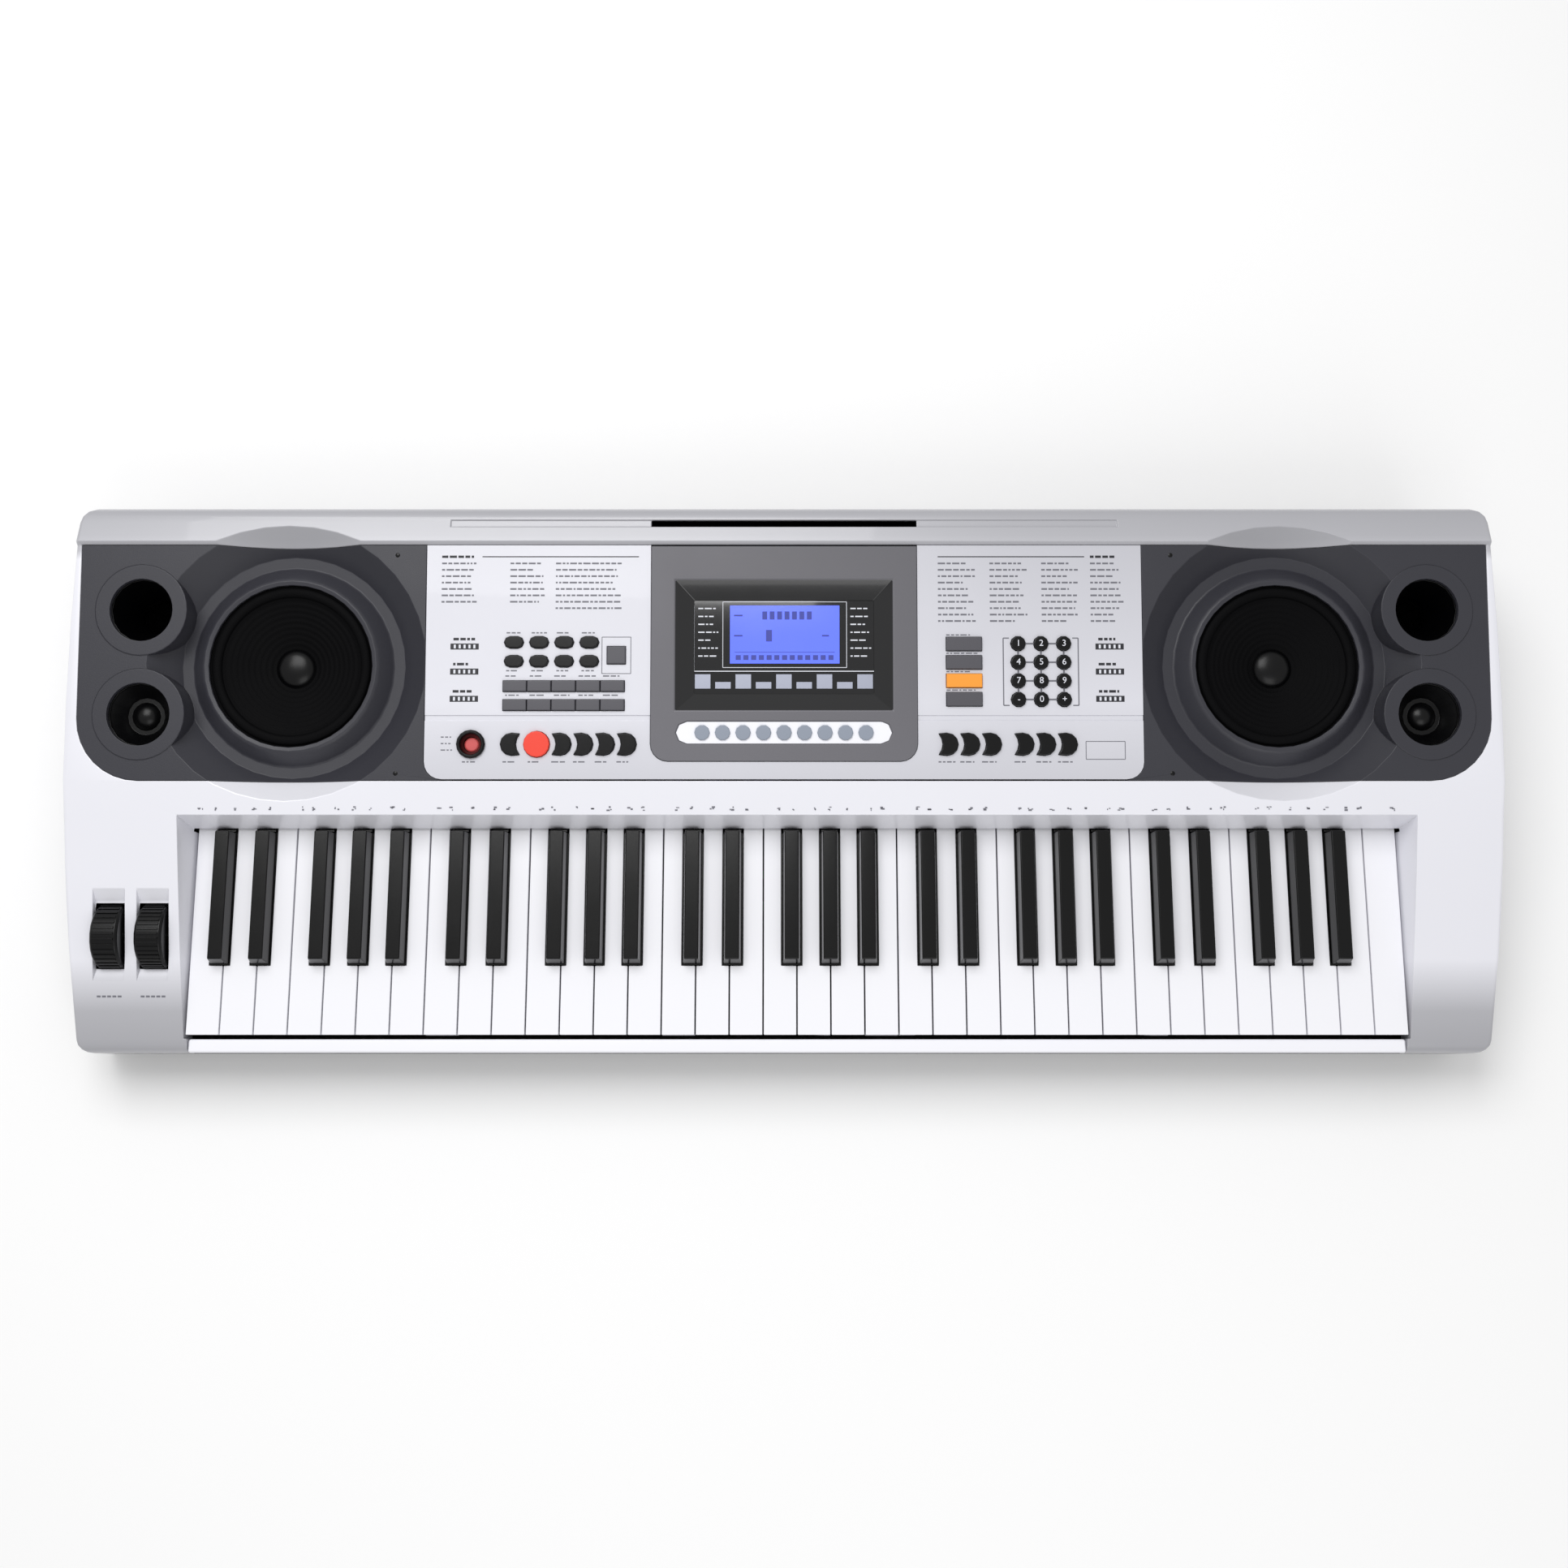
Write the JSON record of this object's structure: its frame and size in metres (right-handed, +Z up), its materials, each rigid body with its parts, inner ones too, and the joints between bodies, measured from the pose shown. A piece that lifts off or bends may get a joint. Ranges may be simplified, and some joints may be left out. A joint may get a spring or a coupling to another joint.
{
  "type": "portable keyboard",
  "caption": "Portable electronic keyboard with full-size keys, speaker panels beside a button panel with a sunk display, and two wheels left of the keys.",
  "frame": {"origin": "under the middle of the case, on the surface that the feet stand on", "axes": "+X to the player's right, +Y from the player to the rear, +Z up"},
  "size_m": [0.9964, 0.377, 0.1116],
  "materials": {
    "silver_shell": "satin silver lacquer with a faint lavender cast",
    "white_rail": "smooth white",
    "charcoal_plastic": "fine grained",
    "baffle_plastic": "satin dark grey",
    "bezel_plastic": "satin mid grey",
    "paper_cone": "pressed paper cone with a rubber surround",
    "black_plastic": "satin",
    "grey_buttons": "satin",
    "orange_button": "satin",
    "red_button": "satin",
    "key_white": "polished",
    "key_black": "polished",
    "smoked_lens": "clear acrylic",
    "lcd_blue": "backlit panel",
    "circuit_board": "solder resist",
    "black_rubber": "matte",
    "steel_pin": "ground"
  },
  "bodies": {
    "case": {"upper_case": "silver_shell", "lower_case": "charcoal_plastic", "battery_door": "charcoal_plastic", "foot_front_left": "black_rubber", "foot_front_right": "black_rubber", "foot_rear_left": "black_rubber", "foot_rear_right": "black_rubber", "front_rail": "white_rail", "control_panel": "silver_shell", "display_bezel": "bezel_plastic", "display_lens": "smoked_lens", "lcd_module": "lcd_blue", "panel_board": "circuit_board", "left_baffle": "baffle_plastic", "right_baffle": "baffle_plastic", "left_woofer": "paper_cone", "right_woofer": "paper_cone", "left_tweeter": "black_plastic", "right_tweeter": "black_plastic", "left_port_tube": "black_plastic", "right_port_tube": "black_plastic", "key_chassis": "charcoal_plastic", "contact_board": "circuit_board", "contact_strip": "black_rubber", "power_collar": "black_plastic", "wheel_bracket": "charcoal_plastic", "wheel_axle": "steel_pin", "music_rest_socket": "black_plastic", "dc_inlet": "black_plastic", "headphone_jack": "black_plastic", "main_board": "circuit_board"},
    "naturals_cegb_1": {"naturals_cegb_1": "key_white"},
    "naturals_dfa_1": {"naturals_dfa_1": "key_white"},
    "sharps_1": {"sharps_1": "key_black"},
    "naturals_cegb_2": {"naturals_cegb_2": "key_white"},
    "naturals_dfa_2": {"naturals_dfa_2": "key_white"},
    "sharps_2": {"sharps_2": "key_black"},
    "naturals_cegb_3": {"naturals_cegb_3": "key_white"},
    "naturals_dfa_3": {"naturals_dfa_3": "key_white"},
    "sharps_3": {"sharps_3": "key_black"},
    "naturals_cegb_4": {"naturals_cegb_4": "key_white"},
    "naturals_dfa_4": {"naturals_dfa_4": "key_white"},
    "sharps_4": {"sharps_4": "key_black"},
    "naturals_cegb_5": {"naturals_cegb_5": "key_white"},
    "naturals_dfa_5": {"naturals_dfa_5": "key_white"},
    "sharps_5": {"sharps_5": "key_black"},
    "natural_top_c": {"natural_top_c": "key_white"},
    "oval_buttons": {"oval_buttons": "black_plastic"},
    "bar_buttons": {"bar_buttons": "grey_buttons"},
    "start_button": {"start_button": "red_button"},
    "left_crescent_buttons": {"left_crescent_buttons": "black_plastic"},
    "display_buttons": {"display_buttons": "grey_buttons"},
    "function_buttons": {"function_buttons": "grey_buttons"},
    "accent_button": {"accent_button": "orange_button"},
    "keypad_buttons": {"keypad_buttons": "black_plastic"},
    "right_crescent_buttons": {"right_crescent_buttons": "black_plastic"},
    "power_button": {"power_button": "red_button"},
    "value_rocker": {"value_rocker": "grey_buttons"},
    "pitch_wheel": {"pitch_wheel": "black_plastic"},
    "modulation_wheel": {"modulation_wheel": "black_plastic"}
  },
  "joints": [
    {"name": "press_naturals_cegb_1", "type": "hinge", "parent": "case", "child": "naturals_cegb_1", "pos_m": [-0.33175, 0.014, 0.0435], "axis": [1, 0, 0], "range_deg": [0, 3], "stiffness_Nm_per_rad": 1.5, "springref_deg": -8.59},
    {"name": "press_naturals_dfa_1", "type": "hinge", "parent": "case", "child": "naturals_dfa_1", "pos_m": [-0.33175, 0.002, 0.0435], "axis": [1, 0, 0], "range_deg": [0, 3], "stiffness_Nm_per_rad": 1.5, "springref_deg": -8.59},
    {"name": "press_sharps_1", "type": "hinge", "parent": "case", "child": "sharps_1", "pos_m": [-0.3317, -0.01, 0.0435], "axis": [1, 0, 0], "range_deg": [0, 3], "stiffness_Nm_per_rad": 1.5, "springref_deg": -8.59},
    {"name": "press_naturals_cegb_2", "type": "hinge", "parent": "case", "child": "naturals_cegb_2", "pos_m": [-0.16725, 0.014, 0.0435], "axis": [1, 0, 0], "range_deg": [0, 3], "stiffness_Nm_per_rad": 1.5, "springref_deg": -8.59},
    {"name": "press_naturals_dfa_2", "type": "hinge", "parent": "case", "child": "naturals_dfa_2", "pos_m": [-0.16725, 0.002, 0.0435], "axis": [1, 0, 0], "range_deg": [0, 3], "stiffness_Nm_per_rad": 1.5, "springref_deg": -8.59},
    {"name": "press_sharps_2", "type": "hinge", "parent": "case", "child": "sharps_2", "pos_m": [-0.1672, -0.01, 0.0435], "axis": [1, 0, 0], "range_deg": [0, 3], "stiffness_Nm_per_rad": 1.5, "springref_deg": -8.59},
    {"name": "press_naturals_cegb_3", "type": "hinge", "parent": "case", "child": "naturals_cegb_3", "pos_m": [-0.00275, 0.014, 0.0435], "axis": [1, 0, 0], "range_deg": [0, 3], "stiffness_Nm_per_rad": 1.5, "springref_deg": -8.59},
    {"name": "press_naturals_dfa_3", "type": "hinge", "parent": "case", "child": "naturals_dfa_3", "pos_m": [-0.00275, 0.002, 0.0435], "axis": [1, 0, 0], "range_deg": [0, 3], "stiffness_Nm_per_rad": 1.5, "springref_deg": -8.59},
    {"name": "press_sharps_3", "type": "hinge", "parent": "case", "child": "sharps_3", "pos_m": [-0.0027, -0.01, 0.0435], "axis": [1, 0, 0], "range_deg": [0, 3], "stiffness_Nm_per_rad": 1.5, "springref_deg": -8.59},
    {"name": "press_naturals_cegb_4", "type": "hinge", "parent": "case", "child": "naturals_cegb_4", "pos_m": [0.16175, 0.014, 0.0435], "axis": [1, 0, 0], "range_deg": [0, 3], "stiffness_Nm_per_rad": 1.5, "springref_deg": -8.59},
    {"name": "press_naturals_dfa_4", "type": "hinge", "parent": "case", "child": "naturals_dfa_4", "pos_m": [0.16175, 0.002, 0.0435], "axis": [1, 0, 0], "range_deg": [0, 3], "stiffness_Nm_per_rad": 1.5, "springref_deg": -8.59},
    {"name": "press_sharps_4", "type": "hinge", "parent": "case", "child": "sharps_4", "pos_m": [0.1618, -0.01, 0.0435], "axis": [1, 0, 0], "range_deg": [0, 3], "stiffness_Nm_per_rad": 1.5, "springref_deg": -8.59},
    {"name": "press_naturals_cegb_5", "type": "hinge", "parent": "case", "child": "naturals_cegb_5", "pos_m": [0.32625, 0.014, 0.0435], "axis": [1, 0, 0], "range_deg": [0, 3], "stiffness_Nm_per_rad": 1.5, "springref_deg": -8.59},
    {"name": "press_naturals_dfa_5", "type": "hinge", "parent": "case", "child": "naturals_dfa_5", "pos_m": [0.32625, 0.002, 0.0435], "axis": [1, 0, 0], "range_deg": [0, 3], "stiffness_Nm_per_rad": 1.5, "springref_deg": -8.59},
    {"name": "press_sharps_5", "type": "hinge", "parent": "case", "child": "sharps_5", "pos_m": [0.3263, -0.01, 0.0435], "axis": [1, 0, 0], "range_deg": [0, 3], "stiffness_Nm_per_rad": 1.5, "springref_deg": -8.59},
    {"name": "press_natural_top_c", "type": "hinge", "parent": "case", "child": "natural_top_c", "pos_m": [0.42025, 0.014, 0.0435], "axis": [1, 0, 0], "range_deg": [0, 3], "stiffness_Nm_per_rad": 0.6, "springref_deg": -8.59},
    {"name": "press_oval_buttons", "type": "slide", "parent": "case", "child": "oval_buttons", "axis": [0, 0.1045, -0.9945], "range_m": [0, 0.0012], "stiffness_N_per_m": 800, "springref_m": -0.0008},
    {"name": "press_bar_buttons", "type": "slide", "parent": "case", "child": "bar_buttons", "axis": [0, 0.1045, -0.9945], "range_m": [0, 0.0012], "stiffness_N_per_m": 800, "springref_m": -0.0008},
    {"name": "press_start_button", "type": "slide", "parent": "case", "child": "start_button", "axis": [0, 0.1045, -0.9945], "range_m": [0, 0.0012], "stiffness_N_per_m": 800, "springref_m": -0.0008},
    {"name": "press_left_crescent_buttons", "type": "slide", "parent": "case", "child": "left_crescent_buttons", "axis": [0, 0.1045, -0.9945], "range_m": [0, 0.0012], "stiffness_N_per_m": 800, "springref_m": -0.0008},
    {"name": "press_display_buttons", "type": "slide", "parent": "case", "child": "display_buttons", "axis": [0, 0.1045, -0.9945], "range_m": [0, 0.0012], "stiffness_N_per_m": 800, "springref_m": -0.0008},
    {"name": "press_function_buttons", "type": "slide", "parent": "case", "child": "function_buttons", "axis": [0, 0.1045, -0.9945], "range_m": [0, 0.0012], "stiffness_N_per_m": 800, "springref_m": -0.0008},
    {"name": "press_accent_button", "type": "slide", "parent": "case", "child": "accent_button", "axis": [0, 0.1045, -0.9945], "range_m": [0, 0.0012], "stiffness_N_per_m": 800, "springref_m": -0.0008},
    {"name": "press_keypad_buttons", "type": "slide", "parent": "case", "child": "keypad_buttons", "axis": [0, 0.1045, -0.9945], "range_m": [0, 0.0012], "stiffness_N_per_m": 800, "springref_m": -0.0008},
    {"name": "press_right_crescent_buttons", "type": "slide", "parent": "case", "child": "right_crescent_buttons", "axis": [0, 0.1045, -0.9945], "range_m": [0, 0.0012], "stiffness_N_per_m": 800, "springref_m": -0.0008},
    {"name": "press_power_button", "type": "slide", "parent": "case", "child": "power_button", "axis": [0, 0.1045, -0.9945], "range_m": [0, 0.0015], "stiffness_N_per_m": 500, "springref_m": -0.0008},
    {"name": "rock_value_rocker", "type": "hinge", "parent": "case", "child": "value_rocker", "pos_m": [-0.1162, 0.08337, 0.09731], "axis": [1, 0, 0], "range_deg": [-4, 4], "stiffness_Nm_per_rad": 0.05},
    {"name": "turn_pitch_wheel", "type": "hinge", "parent": "case", "child": "pitch_wheel", "pos_m": [-0.4658, -0.108, 0.0595], "axis": [1, 0, 0], "range_deg": [-35, 35], "stiffness_Nm_per_rad": 0.05},
    {"name": "turn_modulation_wheel", "type": "hinge", "parent": "case", "child": "modulation_wheel", "pos_m": [-0.4355, -0.108, 0.0595], "axis": [1, 0, 0], "range_deg": [-40, 40]}
  ]
}
